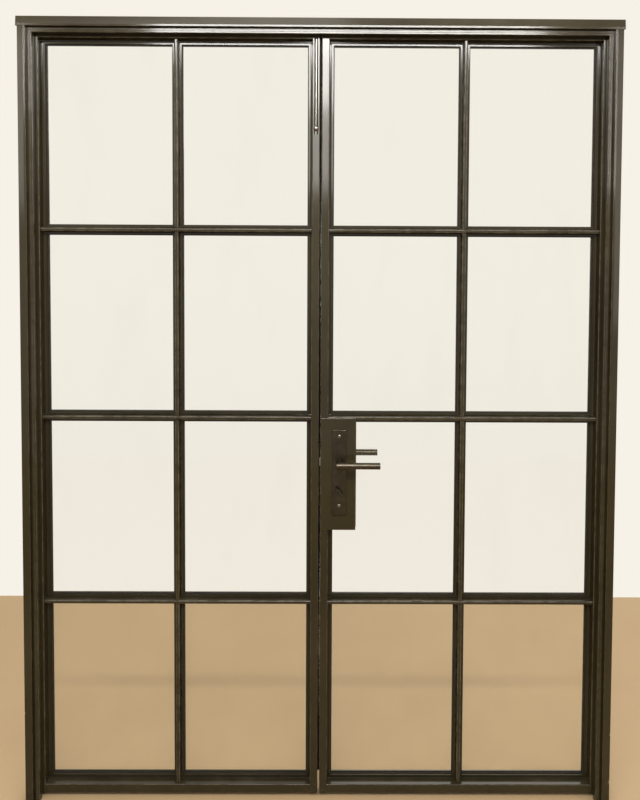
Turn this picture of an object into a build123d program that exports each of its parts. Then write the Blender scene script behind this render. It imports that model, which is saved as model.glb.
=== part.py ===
from build123d import *
import os

# Pair of glazed steel doors in a three-sided steel frame.
# Millimetres. X runs to the right along the doors, Y away from the side with the frame stops,
# Z up. X = 0 is the middle of the gap between the doors, Y = 0 the middle of their thickness
# and Z = 0 the floor. Both doors swing away from the stops, towards +Y.

# Door leaves and the gaps round them
LEAF_W = 752.0
LEAF_H = 2032.0
LEAF_T = 40.0
MEETING_GAP = 5.0
SIDE_GAP = 3.0
HEAD_GAP = 3.0
FLOOR_GAP = 10.0

# Leaf members: rectangular tube with a fin on the far side that holds the glass
STILE_W = 20.0
TOP_RAIL_H = 20.0
BOTTOM_RAIL_H = 24.0
TUBE_WALL = 2.0
TUBE_CORNER_R = 2.0
FIN_W = 12.0
FIN_T = 4.0
STILE_CAP_T = 3.0

# Glazing bars: a flat flange on the far side and a round-nosed rib towards the near side
ROWS = 4
RIB_W = 10.0
RIB_NOSE_R = 4.0
RIB_SETBACK = 6.0
FLANGE_WING = 9.2
HALVING_Y = 1.0

# Glazing, from the far side: tape, glass, gasket, then an L-shaped bead with a raised lip
TAPE_T = 1.0
TAPE_W = 9.0
GLASS_T = 5.0
GLASS_EDGE_GAP = 3.0
GASKET_T = 1.5
GASKET_SHOW = 2.5
BEAD_LEG_T = 1.5
LIP_W = 4.5
LIP_H = 4.5
FRAME_LEG = 5.5
BAR_LEG = 2.2
BOX_LEG = 1.0

# Door frame: tubes, flat trims on their near faces and grooved stops inside them
JAMB_W = 20.0
FRAME_D = 62.0
FRAME_WALL = 2.5
STOP_W = 16.0
STOP_GROOVE_W = 6.0
STOP_GROOVE_D = 5.0
STOP_NOSE_R = 1.2
STOP_LINE_W = 1.0
TRIM_T = 5.0
SIDE_TRIM_W = 21.0
HEAD_TRIM_H = 25.0
HEAD_TRIM_OVERHANG = 3.0
TRIM_LAP = 1.0
TRIM_EDGE_R = 1.0
SEAL_T = 4.0
SEAL_W = 8.0
SEAL_INSET = 2.0
SEAL_CLEARANCE = 0.3

# Fixing holes through each jamb, between the doors' edge and the wall
FIXING_R = 3.5
FIXINGS_ABOVE_FLOOR = (180.0, 700.0)
FIXINGS_BELOW_HEAD = (195.0, 715.0)

# Lift-off hinges on the far side
HINGE_FROM_END = 230.0
KNUCKLE_R = 8.0
KNUCKLE_H = 48.0
KNUCKLE_GAP = 0.6
KNUCKLE_OFF_FACE = 1.5
HINGE_FLAG_T = 4.0
HINGE_FLAG_W = 19.0
HINGE_FLAG_SETBACK = 0.5
PIN_R = 4.5
PIN_REACH = 38.0
PIN_CLEARANCE = 0.05
PIN_ROOM = 2.0

# Brush seal in the gap between the doors
MEETING_SEAL_T = 6.0
MEETING_SEAL_START_Z = 38.0
MEETING_SEAL_CLEARANCE = 0.3

# Top bolt of the left door: a rod inside the meeting stile, moved by a button in a slot
BOLT_R = 4.0
BOLT_Y = -13.0
BOLT_TRAVEL = 12.0
BOLT_CLEARANCE = 0.3
BOLT_LEAVES_TIP = 1.0
BUTTON_BELOW_TOP = 250.0
BUTTON_R = 7.0
BUTTON_T = 6.0
BUTTON_STEM_R = 3.5
BUTTON_SETBACK = 0.6
SLOT_W = 10.0
SLOT_TOP_BELOW_END = 14.0
GUIDE_H = 14.0
GUIDE_BELOW_SLOT = 4.0
BOLT_TAIL = 8.0
KEEPER_R = 8.0
KEEPER_RIM_R = 10.0
KEEPER_RIM_T = 1.0
KEEPER_H = 16.0

# Lock box welded into the right door and its cover plates
BOX_RIGHT_FROM_EDGE = 86.5
BOX_BELOW_LEVER = 180.0
BOX_WALL = 3.0
COVER_T = 3.0
COVER_TOP_LAP = 8.5
COVER_RIGHT_LAP = 7.2
COVER_BOTTOM_LAP = 5.0
COVER_EDGE_R = 2.5

# Mortise lock, measured from the door's edge and from the lever's axis, which stands a set height
# below the middle cross bar
LEVER_BELOW_BAR = 112.0
BACKSET = 50.0
TURN_BELOW_LEVER = 78.0
CASE_DEPTH = 78.0
CASE_T = 15.0
CASE_ABOVE_LEVER = 50.0
CASE_BELOW_LEVER = 112.0
FACEPLATE_T = 3.0
FACEPLATE_W = 20.0
FACEPLATE_ABOVE_LEVER = 92.0
FACEPLATE_BELOW_LEVER = 142.0
FACEPLATE_FIT = 0.3
LUG_H = 14.0
LOCK_SCREW_R = 2.0
SCREW_HEAD_R = 3.8
SCREW_HEAD_H = 1.8
LOCK_SCREW_L = 6.0
LATCH_BELOW_LEVER = 6.0
LATCH_T = 11.0
LATCH_H = 22.0
LATCH_OUT = 11.0
LATCH_IN = 20.0
DEADBOLT_T = 10.0
DEADBOLT_H = 20.0
DEADBOLT_IN = 26.0
LOCK_CLEARANCE = 0.3

# Strike plate on the left door's edge
STRIKE_T = 2.0
STRIKE_W = 24.0
STRIKE_ABOVE_LEVER = 40.0
STRIKE_BELOW_LEVER = 124.0
STRIKE_SCREW_INSET = 9.0

# Back plates, levers and thumb turn
PLATE_W = 36.0
PLATE_T = 6.0
PLATE_ABOVE_LEVER = 85.0
PLATE_BELOW_LEVER = 142.0
PLATE_EDGE_R = 1.5
BOLT_ABOVE_LEVER = 68.0
BOLT_BELOW_LEVER = 117.0
PLATE_BOLT_R = 2.5
PLATE_BOLT_HEAD_R = 4.5
PLATE_BOLT_HEAD_H = 1.5
LEVER_R = 8.5
LEVER_REACH = 106.0
LEVER_PROJECTION = 42.0
LEVER_END_R = 1.0
LEVER_SEAT = 3.0
LEVER_FIT = 0.1
SPINDLE_SIDE = 8.0
SPINDLE_IN_LEVER = 24.0
SPINDLE_FIT = 0.05
FOLLOWER_R = 10.0
FOLLOWER_FIT = 0.1
TURN_STEM_R = 5.0
TURN_STEM_L = 10.0
TURN_GRIP_L = 26.0
TURN_GRIP_W = 8.0
TURN_GRIP_H = 12.0
TURN_GRIP_R = 1.0
TURN_TILT = 36.0
TURN_SPINDLE_SIDE = 5.0
TURN_SPINDLE_IN = 7.0
TURN_FOLLOWER_R = 7.0
RELEASE_SLOT_W = 1.6
RELEASE_SLOT_D = 1.5
RELEASE_L = 5.0
HOLE_CLEARANCE = 0.3

# Planes and edges that the sizes above settle
NEAR = -LEAF_T / 2
FAR = LEAF_T / 2
LEAF_X0 = MEETING_GAP / 2
LEAF_X1 = LEAF_X0 + LEAF_W
LEAF_Z0 = FLOOR_GAP
LEAF_Z1 = LEAF_Z0 + LEAF_H
GLASS_X0 = LEAF_X0 + STILE_W
GLASS_X1 = LEAF_X1 - STILE_W
GLASS_Z0 = LEAF_Z0 + BOTTOM_RAIL_H
GLASS_Z1 = LEAF_Z1 - TOP_RAIL_H
FIN_Y = FAR - FIN_T
GLASS_FAR_Y = FIN_Y - TAPE_T
GLASS_NEAR_Y = GLASS_FAR_Y - GLASS_T
BEAD_Y = GLASS_NEAR_Y - GASKET_T
FRAME_SIGHT = FRAME_LEG + LIP_W + GASKET_SHOW
BAR_SIGHT = RIB_W + 2 * (BAR_LEG + LIP_W + GASKET_SHOW)
UPRIGHT_X = (GLASS_X0 + GLASS_X1) / 2
DAYLIGHT_H = (GLASS_Z1 - GLASS_Z0 - 2 * FRAME_SIGHT - (ROWS - 1) * BAR_SIGHT) / ROWS
FIRST_BAR_Z = GLASS_Z0 + FRAME_SIGHT + DAYLIGHT_H + BAR_SIGHT / 2
BAR_ZS = [FIRST_BAR_Z + k * (DAYLIGHT_H + BAR_SIGHT) for k in range(ROWS - 1)]
JAMB_X0 = LEAF_X1 + SIDE_GAP
JAMB_X1 = JAMB_X0 + JAMB_W
HEAD_Z0 = LEAF_Z1 + HEAD_GAP
HEAD_Z1 = HEAD_Z0 + JAMB_W
FIXING_ZS = list(FIXINGS_ABOVE_FLOOR) + [HEAD_Z0 - below for below in FIXINGS_BELOW_HEAD]
FRAME_NEAR = FAR - FRAME_D
STOP_FAR = NEAR - SEAL_T
HINGE_X = LEAF_X1 + SIDE_GAP / 2
HINGE_Y = FAR + KNUCKLE_OFF_FACE + KNUCKLE_R
HINGE_ZS = [LEAF_Z0 + HINGE_FROM_END, (LEAF_Z0 + LEAF_Z1) / 2, LEAF_Z1 - HINGE_FROM_END]
LOCK_BAR_Z = BAR_ZS[1]
BOX_TOP_Z = LOCK_BAR_Z - RIB_W / 2
LEVER_Z = LOCK_BAR_Z - LEVER_BELOW_BAR
BOX_BOTTOM_Z = LEVER_Z - BOX_BELOW_LEVER
BOX_X1 = LEAF_X0 + BOX_RIGHT_FROM_EDGE
COVER_NEAR = NEAR - COVER_T
AXIS_X = LEAF_X0 + BACKSET
TURN_Z = LEVER_Z - TURN_BELOW_LEVER
LATCH_Z = LEVER_Z - LATCH_BELOW_LEVER
CASE_X0 = LEAF_X0 + FACEPLATE_T
BOLT_X = -(LEAF_X0 + STILE_W / 2)
BUTTON_Z = LEAF_Z1 - BUTTON_BELOW_TOP
BUTTON_LOW_Z = BUTTON_Z - BOLT_TRAVEL
SLOT_Z0 = BUTTON_LOW_Z - SLOT_W / 2
SLOT_Z1 = LEAF_Z1 - SLOT_TOP_BELOW_END
GUIDE_Z1 = SLOT_Z0 - GUIDE_BELOW_SLOT


# Basic shapes
def block(x0, x1, y0, y1, z0, z1):
    """A plain block between two corners."""
    centre = ((x0 + x1) / 2, (y0 + y1) / 2, (z0 + z1) / 2)
    return Pos(*centre) * Box(x1 - x0, y1 - y0, z1 - z0)


def rod(radius, start, direction, length):
    """A round bar from a start point along a direction."""
    return extrude(Plane(origin=start, z_dir=direction) * Circle(radius), length)


def filled(points, radii=None):
    """A face from its corner points, each corner rounded by its own radius."""
    if radii is None:
        return make_face(Polyline(*points, close=True))
    return make_face(FilletPolyline(*points, radius=radii, close=True))


def upright_piece(section, z0, z1):
    """Extrude a section drawn in X and Y from z0 up to z1."""
    return extrude(Plane.XY.offset(z0) * section, z1 - z0)


def level_piece(section, x0, x1):
    """Extrude a section drawn in Y and Z from x0 to x1."""
    return extrude(Plane.YZ.offset(x0) * section, x1 - x0)


def slab(points, y0, y1):
    """A flat plate drawn in X and Z, from y0 through to y1."""
    return extrude(Plane.XZ.offset(-y1) * filled(points), y1 - y0)


def flipped(shape):
    """The mirror image on the other side of the meeting gap."""
    return mirror(shape, about=Plane.YZ)


def on_side(shape, side):
    """Keep a right-hand piece, or mirror it for the left door."""
    return shape if side > 0 else flipped(shape)


# Square-cornered outlines that run anticlockwise in X and Z
def rectangle(x0, x1, z0, z1):
    return [(x0, z0), (x1, z0), (x1, z1), (x0, z1)]


def inset(outline, steps):
    """Move each side of an outline inwards by its own step."""
    count = len(outline)
    normals = []
    for i in range(count):
        (ax, az), (bx, bz) = outline[i], outline[(i + 1) % count]
        length = abs(bx - ax) + abs(bz - az)
        normals.append((-(bz - az) / length, (bx - ax) / length))
    moved = []
    for i in range(count):
        before = i - 1
        x = outline[i][0] + steps[before] * normals[before][0] + steps[i] * normals[i][0]
        z = outline[i][1] + steps[before] * normals[before][1] + steps[i] * normals[i][1]
        moved.append((x, z))
    return moved


def widened(steps, extra):
    return [step + extra for step in steps]


def ring(outline, outer_steps, inner_steps, y0, y1):
    """A flat ring between two insets of one outline."""
    return slab(inset(outline, outer_steps), y0, y1) - slab(inset(outline, inner_steps), y0, y1)


# Door frame
def frame_tube_section():
    """Section of the frame's tube about its own middle."""
    tube = RectangleRounded(JAMB_W, FRAME_D, TUBE_CORNER_R)
    return tube - Rectangle(JAMB_W - 2 * FRAME_WALL, FRAME_D - 2 * FRAME_WALL)


FRAME_MID_Y = (FRAME_NEAR + FAR) / 2


def mitre_wedge(inner, outer):
    """The space above the mitre line of the top right corner, from inner to outer corner."""
    run = outer[0] - inner[0]
    low = (inner[0] - run, inner[1] - run)
    high = (outer[0] + run, outer[1] + run)
    return slab([low, high, (low[0], high[1])], FRAME_NEAR - FRAME_D, FAR + FRAME_D)


def build_jamb(side):
    section = Pos((JAMB_X0 + JAMB_X1) / 2, FRAME_MID_Y) * frame_tube_section()
    jamb = upright_piece(section, 0, HEAD_Z1)
    jamb -= mitre_wedge((JAMB_X0, HEAD_Z0), (JAMB_X1, HEAD_Z1))
    for z in FIXING_ZS:
        jamb -= rod(FIXING_R, (JAMB_X0 - 1, 0, z), (1, 0, 0), JAMB_W + 2)
    return on_side(jamb, side)


def build_head():
    section = Pos(FRAME_MID_Y, (HEAD_Z0 + HEAD_Z1) / 2) * (Rot(0, 0, 90) * frame_tube_section())
    head = level_piece(section, -JAMB_X1, JAMB_X1)
    keep = rectangle(-JAMB_X1, JAMB_X1, HEAD_Z0, HEAD_Z1)
    keep[0] = (-JAMB_X0, HEAD_Z0)
    keep[1] = (JAMB_X0, HEAD_Z0)
    head &= slab(keep, FRAME_NEAR, FAR)
    keeper_hole_r = KEEPER_R + HOLE_CLEARANCE
    return head - rod(keeper_hole_r, (BOLT_X, BOLT_Y, HEAD_Z0 - 1), (0, 0, 1), FRAME_WALL + 2)


def stop_section(map_point):
    """Stop with a narrow nose, a groove beside the trim and a fine line along the nose."""
    nose_mid = (STOP_W + STOP_GROOVE_W) / 2
    half = STOP_LINE_W / 2
    points = [
        (0, STOP_FAR),
        (0, FRAME_NEAR + STOP_GROOVE_D),
        (STOP_GROOVE_W, FRAME_NEAR + STOP_GROOVE_D),
        (STOP_GROOVE_W, FRAME_NEAR),
        (nose_mid - half, FRAME_NEAR),
        (nose_mid, FRAME_NEAR + half),
        (nose_mid + half, FRAME_NEAR),
        (STOP_W, FRAME_NEAR),
        (STOP_W, STOP_FAR),
    ]
    radii = [0, 0, 0, STOP_NOSE_R, 0, 0, 0, STOP_NOSE_R, 0]
    return filled([map_point(u, y) for u, y in points], radii)


def build_side_stop(side):
    section = stop_section(lambda u, y: (JAMB_X0 - u, y))
    stop = upright_piece(section, 0, HEAD_Z0)
    stop -= mitre_wedge((JAMB_X0 - STOP_W, HEAD_Z0 - STOP_W), (JAMB_X0, HEAD_Z0))
    return on_side(stop, side)


def build_head_stop():
    section = stop_section(lambda u, y: (y, HEAD_Z0 - u))
    stop = level_piece(section, -JAMB_X0, JAMB_X0)
    keep = rectangle(-JAMB_X0, JAMB_X0, HEAD_Z0 - STOP_W, HEAD_Z0)
    keep[0] = (-JAMB_X0 + STOP_W, HEAD_Z0 - STOP_W)
    keep[1] = (JAMB_X0 - STOP_W, HEAD_Z0 - STOP_W)
    return stop & slab(keep, FRAME_NEAR, STOP_FAR)


TRIM_Z = HEAD_Z0 - TRIM_LAP
TRIM_NEAR = FRAME_NEAR - TRIM_T


def trim_section(across0, across1, turned):
    """Flat bar with its two near edges rounded off."""
    points = [
        (across0, FRAME_NEAR),
        (across0, TRIM_NEAR),
        (across1, TRIM_NEAR),
        (across1, FRAME_NEAR),
    ]
    if turned:
        points = [(y, u) for u, y in points]
    return filled(points, [0, TRIM_EDGE_R, TRIM_EDGE_R, 0])


def build_side_trim(side):
    x0 = JAMB_X0 - TRIM_LAP
    return on_side(upright_piece(trim_section(x0, x0 + SIDE_TRIM_W, False), 0, TRIM_Z), side)


def build_head_trim():
    reach = JAMB_X0 - TRIM_LAP + SIDE_TRIM_W + HEAD_TRIM_OVERHANG
    return level_piece(trim_section(TRIM_Z, TRIM_Z + HEAD_TRIM_H, True), -reach, reach)


def build_stop_seals():
    """Soft strips on the stops that the closed doors rest against."""
    outer = JAMB_X0 - STOP_W + SEAL_INSET + SEAL_W
    inner = outer - SEAL_W
    top = HEAD_Z0 - STOP_W + SEAL_INSET + SEAL_W
    y1 = NEAR - SEAL_CLEARANCE
    side = block(inner, outer, STOP_FAR, y1, LEAF_Z0, top - SEAL_W)
    head = block(-outer, outer, STOP_FAR, y1, top - SEAL_W, top)
    return [side, flipped(side), head]


def build_keeper():
    """Flanged bush in the head that takes the tip of the top bolt."""
    profile = filled([
        (BOLT_R + BOLT_CLEARANCE, -KEEPER_RIM_T),
        (KEEPER_RIM_R, -KEEPER_RIM_T),
        (KEEPER_RIM_R, 0),
        (KEEPER_R, 0),
        (KEEPER_R, KEEPER_H),
        (BOLT_R + BOLT_CLEARANCE, KEEPER_H),
    ])
    bush = revolve(Plane.XZ * profile, Axis.Z)
    return Pos(BOLT_X, BOLT_Y, HEAD_Z0) * bush


# Hinges
def flag(x0, x1, z0):
    return block(x0, x1, FAR, FAR + HINGE_FLAG_T, z0, z0 + KNUCKLE_H)


def build_hinge(z, side):
    """Frame half with its pin below, leaf half above, all on one axis."""
    lower_z = z - KNUCKLE_H - KNUCKLE_GAP / 2
    upper_z = z + KNUCKLE_GAP / 2
    frame_half = rod(KNUCKLE_R, (HINGE_X, HINGE_Y, lower_z), (0, 0, 1), KNUCKLE_H)
    frame_half += flag(HINGE_X, HINGE_X + HINGE_FLAG_W, lower_z)
    frame_half -= rod(PIN_R, (HINGE_X, HINGE_Y, lower_z), (0, 0, 1), KNUCKLE_H)
    leaf_half = rod(KNUCKLE_R, (HINGE_X, HINGE_Y, upper_z), (0, 0, 1), KNUCKLE_H)
    leaf_half += flag(HINGE_X - HINGE_FLAG_W, HINGE_X - HINGE_FLAG_SETBACK, upper_z)
    bore_depth = PIN_REACH + PIN_ROOM
    leaf_half -= rod(PIN_R + PIN_CLEARANCE, (HINGE_X, HINGE_Y, upper_z), (0, 0, 1), bore_depth)
    pin = rod(PIN_R, (HINGE_X, HINGE_Y, lower_z), (0, 0, 1), KNUCKLE_H + KNUCKLE_GAP + PIN_REACH)
    return [on_side(piece, side) for piece in (frame_half, leaf_half, pin)]


# Leaf members
def member_section(width, map_point):
    """Tube with its glazing fin, u measured from the glazed side of the tube."""
    points = [
        (-width, NEAR),
        (0, NEAR),
        (0, FIN_Y),
        (FIN_W, FIN_Y),
        (FIN_W, FAR),
        (-width, FAR),
    ]
    hollow = [
        (-width + TUBE_WALL, NEAR + TUBE_WALL),
        (-TUBE_WALL, NEAR + TUBE_WALL),
        (-TUBE_WALL, FAR - TUBE_WALL),
        (-width + TUBE_WALL, FAR - TUBE_WALL),
    ]
    radii = [TUBE_CORNER_R, TUBE_CORNER_R, 0, 0, 0, TUBE_CORNER_R]
    outer = filled([map_point(u, y) for u, y in points], radii)
    return outer - filled([map_point(u, y) for u, y in hollow])


def capped(member, x0, x1):
    """Close both ends of an upright tube with thin plates."""
    inner = (x0 + TUBE_WALL, x1 - TUBE_WALL, NEAR + TUBE_WALL, FAR - TUBE_WALL)
    member += block(*inner, LEAF_Z0, LEAF_Z0 + STILE_CAP_T)
    return member + block(*inner, LEAF_Z1 - STILE_CAP_T, LEAF_Z1)


def build_stile(map_point, x0, x1):
    """Full-height stile, its fin cut away at both ends where the rails butt against it."""
    stile = upright_piece(member_section(STILE_W, map_point), LEAF_Z0, LEAF_Z1)
    stile -= block(GLASS_X0, GLASS_X1, FIN_Y, FAR, LEAF_Z0, GLASS_Z0)
    stile -= block(GLASS_X0, GLASS_X1, FIN_Y, FAR, GLASS_Z1, LEAF_Z1)
    return capped(stile, x0, x1)


def build_hinge_stile(side):
    return on_side(build_stile(lambda u, y: (GLASS_X1 - u, y), GLASS_X1, LEAF_X1), side)


def plain_meeting_stile():
    return build_stile(lambda u, y: (GLASS_X0 + u, y), LEAF_X0, GLASS_X0)


def build_rail(wall_z, width, outward):
    """Top or bottom rail between the stiles, its fin cut back where theirs pass."""
    section = member_section(width, lambda u, y: (y, wall_z - outward * u))
    rail = level_piece(section, GLASS_X0, GLASS_X1)
    reach = wall_z - outward * FIN_W
    low, high = min(wall_z, reach), max(wall_z, reach)
    rail -= block(GLASS_X0, GLASS_X0 + FIN_W, FIN_Y, FAR, low, high)
    return rail - block(GLASS_X1 - FIN_W, GLASS_X1, FIN_Y, FAR, low, high)


def bar_section(map_point):
    """Glazing bar: wide flange behind the glass, round-nosed rib in front."""
    half = RIB_W / 2
    wing = half + FLANGE_WING
    nose = NEAR + RIB_SETBACK
    points = [
        (-wing, FAR),
        (-wing, FIN_Y),
        (-half, FIN_Y),
        (-half, nose),
        (half, nose),
        (half, FIN_Y),
        (wing, FIN_Y),
        (wing, FAR),
    ]
    radii = [0, 0, 0, RIB_NOSE_R, RIB_NOSE_R, 0, 0, 0]
    return filled([map_point(v, y) for v, y in points], radii)


def build_upright_bar():
    """One bar from rail to rail, its rib notched from the near side at each crossing."""
    bar = upright_piece(bar_section(lambda v, y: (UPRIGHT_X + v, y)), GLASS_Z0, GLASS_Z1)
    half = RIB_W / 2
    for z0, z1 in ((GLASS_Z0, GLASS_Z0 + FIN_W), (GLASS_Z1 - FIN_W, GLASS_Z1)):
        bar -= block(UPRIGHT_X - STILE_W, UPRIGHT_X + STILE_W, FIN_Y, FAR, z0, z1)
    for z in BAR_ZS:
        bar -= block(UPRIGHT_X - half, UPRIGHT_X + half, NEAR, HALVING_Y, z - half, z + half)
    return bar


def build_cross_bar(z):
    """One bar from stile to stile, cut out from behind where the upright bar passes."""
    bar = level_piece(bar_section(lambda v, y: (y, z + v)), GLASS_X0, GLASS_X1)
    half = RIB_W / 2
    wing = half + FLANGE_WING
    for x0, x1 in ((GLASS_X0, GLASS_X0 + FIN_W), (GLASS_X1 - FIN_W, GLASS_X1)):
        bar -= block(x0, x1, FIN_Y, FAR, z - wing, z + wing)
    bar -= block(UPRIGHT_X - wing, UPRIGHT_X + wing, FIN_Y, FAR, z - wing, z + wing)
    return bar - block(UPRIGHT_X - half, UPRIGHT_X + half, HALVING_Y, FAR, z - half, z + half)


# Glazing
def pane_openings():
    """Outline and bead leg widths of each opening between the bars, row by row."""
    half = RIB_W / 2
    columns = [
        (GLASS_X0, UPRIGHT_X - half, FRAME_LEG, BAR_LEG),
        (UPRIGHT_X + half, GLASS_X1, BAR_LEG, FRAME_LEG),
    ]
    edges = [GLASS_Z0] + [z + side * half for z in BAR_ZS for side in (-1, 1)] + [GLASS_Z1]
    openings = []
    for row in range(ROWS):
        z0, z1 = edges[2 * row], edges[2 * row + 1]
        low_leg = FRAME_LEG if row == 0 else BAR_LEG
        high_leg = FRAME_LEG if row == ROWS - 1 else BAR_LEG
        for x0, x1, left_leg, right_leg in columns:
            legs = [low_leg, right_leg, high_leg, left_leg]
            openings.append((rectangle(x0, x1, z0, z1), legs))
    return openings


def lock_opening(openings):
    """Place in the list of the opening that the lever's axis falls in."""
    for i, (outline, _) in enumerate(openings):
        (x0, z0), _, (x1, z1), _ = outline
        if x0 < AXIS_X < x1 and z0 < LEVER_Z < z1:
            return i


def notched_opening(outline, legs):
    """The opening beside the lock box, with its top left corner taken by the box."""
    (x0, z0), (x1, _), (_, z1), _ = outline
    corner = [(x0, z0), (x1, z0), (x1, z1), (BOX_X1, z1), (BOX_X1, BOX_BOTTOM_Z), (x0, BOX_BOTTOM_Z)]
    low_leg, right_leg, high_leg, left_leg = legs
    return corner, [low_leg, right_leg, high_leg, BOX_LEG, BOX_LEG, left_leg]


def build_pane(outline, legs):
    return slab(inset(outline, [GLASS_EDGE_GAP] * len(legs)), GLASS_NEAR_Y, GLASS_FAR_Y)


def build_gasket(outline, legs):
    shown = widened(legs, LIP_W + GASKET_SHOW)
    return ring(outline, [0] * len(legs), shown, BEAD_Y, GLASS_NEAR_Y)


def build_tape(outline, legs):
    edge = [GLASS_EDGE_GAP] * len(legs)
    return ring(outline, edge, widened(edge, TAPE_W - GLASS_EDGE_GAP), GLASS_FAR_Y, FIN_Y)


def build_beads(outline, legs):
    """Mitred bead strips, each a thin leg on the gasket and a lip standing up from it."""
    lip_outer = inset(outline, legs)
    lip_inner = inset(outline, widened(legs, LIP_W))
    strips = []
    for i in range(len(outline)):
        j = (i + 1) % len(outline)
        leg = slab([outline[i], outline[j], lip_outer[j], lip_outer[i]], BEAD_Y - BEAD_LEG_T, BEAD_Y)
        lip = slab([lip_outer[i], lip_outer[j], lip_inner[j], lip_inner[i]], BEAD_Y - LIP_H, BEAD_Y)
        strips.append(leg + lip)
    return strips


# Top bolt of the left door, drawn in place
def build_bolt_rod():
    bottom = GUIDE_Z1 - GUIDE_H - BOLT_TRAVEL - BOLT_TAIL
    top = LEAF_Z1 + BOLT_LEAVES_TIP + BOLT_TRAVEL
    bolt = rod(BOLT_R, (BOLT_X, BOLT_Y, bottom), (0, 0, 1), top - bottom)
    return fillet(bolt.edges().sort_by(Axis.Z)[-1], BOLT_R / 4)


def build_button():
    """Round button on a stem that grips the rod through the slot."""
    seat = BOLT_Y - BOLT_R
    face = NEAR - BUTTON_SETBACK
    stem = rod(BUTTON_STEM_R, (BOLT_X, face, BUTTON_Z), (0, 1, 0), BOLT_Y - face)
    stem -= rod(BOLT_R, (BOLT_X, BOLT_Y, BUTTON_Z - SLOT_W), (0, 0, 1), 2 * SLOT_W)
    head = rod(BUTTON_R, (BOLT_X, face, BUTTON_Z), (0, -1, 0), BUTTON_T)
    head = fillet(head.edges().sort_by(Axis.Y)[0], BUTTON_T / 3)
    return head + stem


def build_guide():
    """Block inside the stile that the rod's lower end runs through."""
    half_w = STILE_W / 2 - TUBE_WALL
    guide = block(BOLT_X - half_w, BOLT_X + half_w, NEAR + TUBE_WALL, BOLT_Y + 2 * BOLT_R,
                  GUIDE_Z1 - GUIDE_H, GUIDE_Z1)
    return guide - rod(BOLT_R + BOLT_CLEARANCE, (BOLT_X, BOLT_Y, GUIDE_Z1 - GUIDE_H), (0, 0, 1), GUIDE_H)


def bolt_slot():
    centre_z = (SLOT_Z0 + SLOT_Z1) / 2
    outline = Rot(0, 0, 90) * SlotOverall(SLOT_Z1 - SLOT_Z0, SLOT_W)
    plane = Plane(origin=(BOLT_X, NEAR - 1, centre_z), x_dir=(1, 0, 0), z_dir=(0, -1, 0))
    return extrude(plane * outline, -(TUBE_WALL + 1))


# Strike side of the lock, in the left door's meeting edge
STRIKE_X = -LEAF_X0
STRIKE_Z0 = LEVER_Z - STRIKE_BELOW_LEVER
STRIKE_Z1 = LEVER_Z + STRIKE_ABOVE_LEVER
STRIKE_SCREW_ZS = (STRIKE_Z0 + STRIKE_SCREW_INSET, STRIKE_Z1 - STRIKE_SCREW_INSET)


def strike_mouths(x0, x1, room):
    """The two openings that take the latch and the deadbolt."""
    half_latch = LATCH_T / 2 + room
    half_bolt = DEADBOLT_T / 2 + room
    latch = block(x0, x1, -half_latch, half_latch,
                  LATCH_Z - LATCH_H / 2 - room, LATCH_Z + LATCH_H / 2 + room)
    return latch + block(x0, x1, -half_bolt, half_bolt,
                         TURN_Z - DEADBOLT_H / 2 - room, TURN_Z + DEADBOLT_H / 2 + room)


def countersunk(head_x, z, direction, length):
    """A countersunk screw along X, its flat head at head_x."""
    cone = Cone(SCREW_HEAD_R, LOCK_SCREW_R, SCREW_HEAD_H, align=(Align.CENTER, Align.CENTER, Align.MIN))
    plane = Plane(origin=(head_x, 0, z), z_dir=(direction, 0, 0))
    return plane * cone + rod(LOCK_SCREW_R, (head_x, 0, z), (direction, 0, 0), length)


STRIKE_ROOM = 1.0


def build_strike_plate():
    plate = block(STRIKE_X, STRIKE_X + STRIKE_T, -STRIKE_W / 2, STRIKE_W / 2, STRIKE_Z0, STRIKE_Z1)
    plate -= strike_mouths(STRIKE_X, STRIKE_X + STRIKE_T, STRIKE_ROOM)
    for z in STRIKE_SCREW_ZS:
        plate -= countersunk(STRIKE_X + STRIKE_T, z, -1, LOCK_SCREW_L)
    return plate


def build_left_meeting_stile():
    stile = flipped(plain_meeting_stile())
    stile -= bolt_slot()
    hole_r = BOLT_R + BOLT_CLEARANCE
    stile -= rod(hole_r, (BOLT_X, BOLT_Y, LEAF_Z1 - STILE_CAP_T), (0, 0, 1), STILE_CAP_T)
    stile -= strike_mouths(STRIKE_X - TUBE_WALL, STRIKE_X, STRIKE_ROOM)
    for z in STRIKE_SCREW_ZS:
        stile -= rod(LOCK_SCREW_R, (STRIKE_X - TUBE_WALL, 0, z), (1, 0, 0), TUBE_WALL)
    return stile


def build_meeting_seal():
    """Brush strip on the left door's edge that closes the gap near the far face."""
    x1 = LEAF_X0 - MEETING_SEAL_CLEARANCE
    return block(-LEAF_X0, x1, FAR - MEETING_SEAL_T, FAR, LEAF_Z0 + MEETING_SEAL_START_Z, LEAF_Z1)


# Lock box and mortise lock of the right door
FACE_Z0 = LEVER_Z - FACEPLATE_BELOW_LEVER
FACE_Z1 = LEVER_Z + FACEPLATE_ABOVE_LEVER
LUG_ZS = (FACE_Z0 + LUG_H / 2, FACE_Z1 - LUG_H / 2)
CASE_Z0 = LEVER_Z - CASE_BELOW_LEVER
CASE_Z1 = LEVER_Z + CASE_ABOVE_LEVER


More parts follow.
